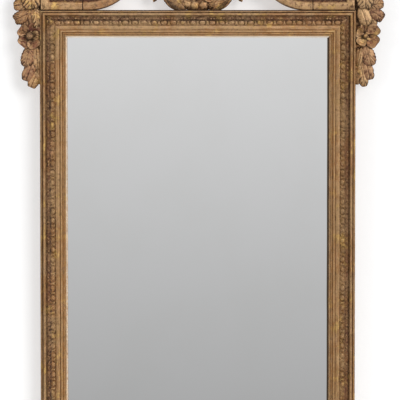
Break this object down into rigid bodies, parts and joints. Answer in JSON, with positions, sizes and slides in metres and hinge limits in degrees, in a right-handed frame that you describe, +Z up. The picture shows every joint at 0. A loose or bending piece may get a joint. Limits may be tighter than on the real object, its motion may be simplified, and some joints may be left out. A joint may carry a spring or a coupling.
{
  "type": "pier mirror",
  "caption": "Tall gilt wood pier mirror: mitred carved moulding, silvered plate, pierced crest with wreath, bow and scrolls, leaf drops at the sides, hung by rings on the back.",
  "frame": {"origin": "middle of the frame's lower back edge, on the plane of the back", "axes": "+X to the right seen from the front, +Y into the wall, +Z up; the front faces -Y"},
  "size_m": [0.8438, 0.0634, 1.4214],
  "materials": {
    "gilt_wood": "worn matte gilding",
    "pine": "aged, bare",
    "oak": "bare",
    "iron": "dark, slightly rusted",
    "mirror_plate": "silvered plate",
    "silvering": "dull grey coat"
  },
  "bodies": {
    "frame": {"top_rail": "gilt_wood", "bottom_rail": "gilt_wood", "left_stile": "gilt_wood", "right_stile": "gilt_wood", "left_crest_block": "gilt_wood", "right_crest_block": "gilt_wood", "left_crest_scroll": "gilt_wood", "right_crest_scroll": "gilt_wood", "crest_wreath": "gilt_wood", "ribbon_bow": "gilt_wood", "left_ribbon_tail": "gilt_wood", "right_ribbon_tail": "gilt_wood", "left_garland": "gilt_wood", "right_garland": "gilt_wood", "left_drop": "gilt_wood", "right_drop": "gilt_wood", "backboard_left": "pine", "backboard_centre": "pine", "backboard_right": "pine", "left_crest_batten": "pine", "centre_crest_batten": "pine", "right_crest_batten": "pine", "glazing_blocks": "pine", "mitre_keys": "oak", "crest_dowels": "oak", "backboard_nails": "iron", "batten_screws": "iron", "drop_pins": "iron", "hanger_screws": "iron", "left_hanger_strap": "iron", "right_hanger_strap": "iron", "mirror_glass": "mirror_plate", "silvering": "silvering"},
    "left_ring": {"left_hanger_ring": "iron"},
    "right_ring": {"right_hanger_ring": "iron"}
  },
  "joints": [
    {"name": "left_ring_swing", "type": "hinge", "parent": "frame", "child": "left_ring", "pos_m": [-0.341, 0.0055, 0.905], "axis": [1, 0, 0], "range_deg": [0, 180]},
    {"name": "right_ring_swing", "type": "hinge", "parent": "frame", "child": "right_ring", "pos_m": [0.341, 0.0055, 0.905], "axis": [1, 0, 0], "range_deg": [0, 180]}
  ]
}
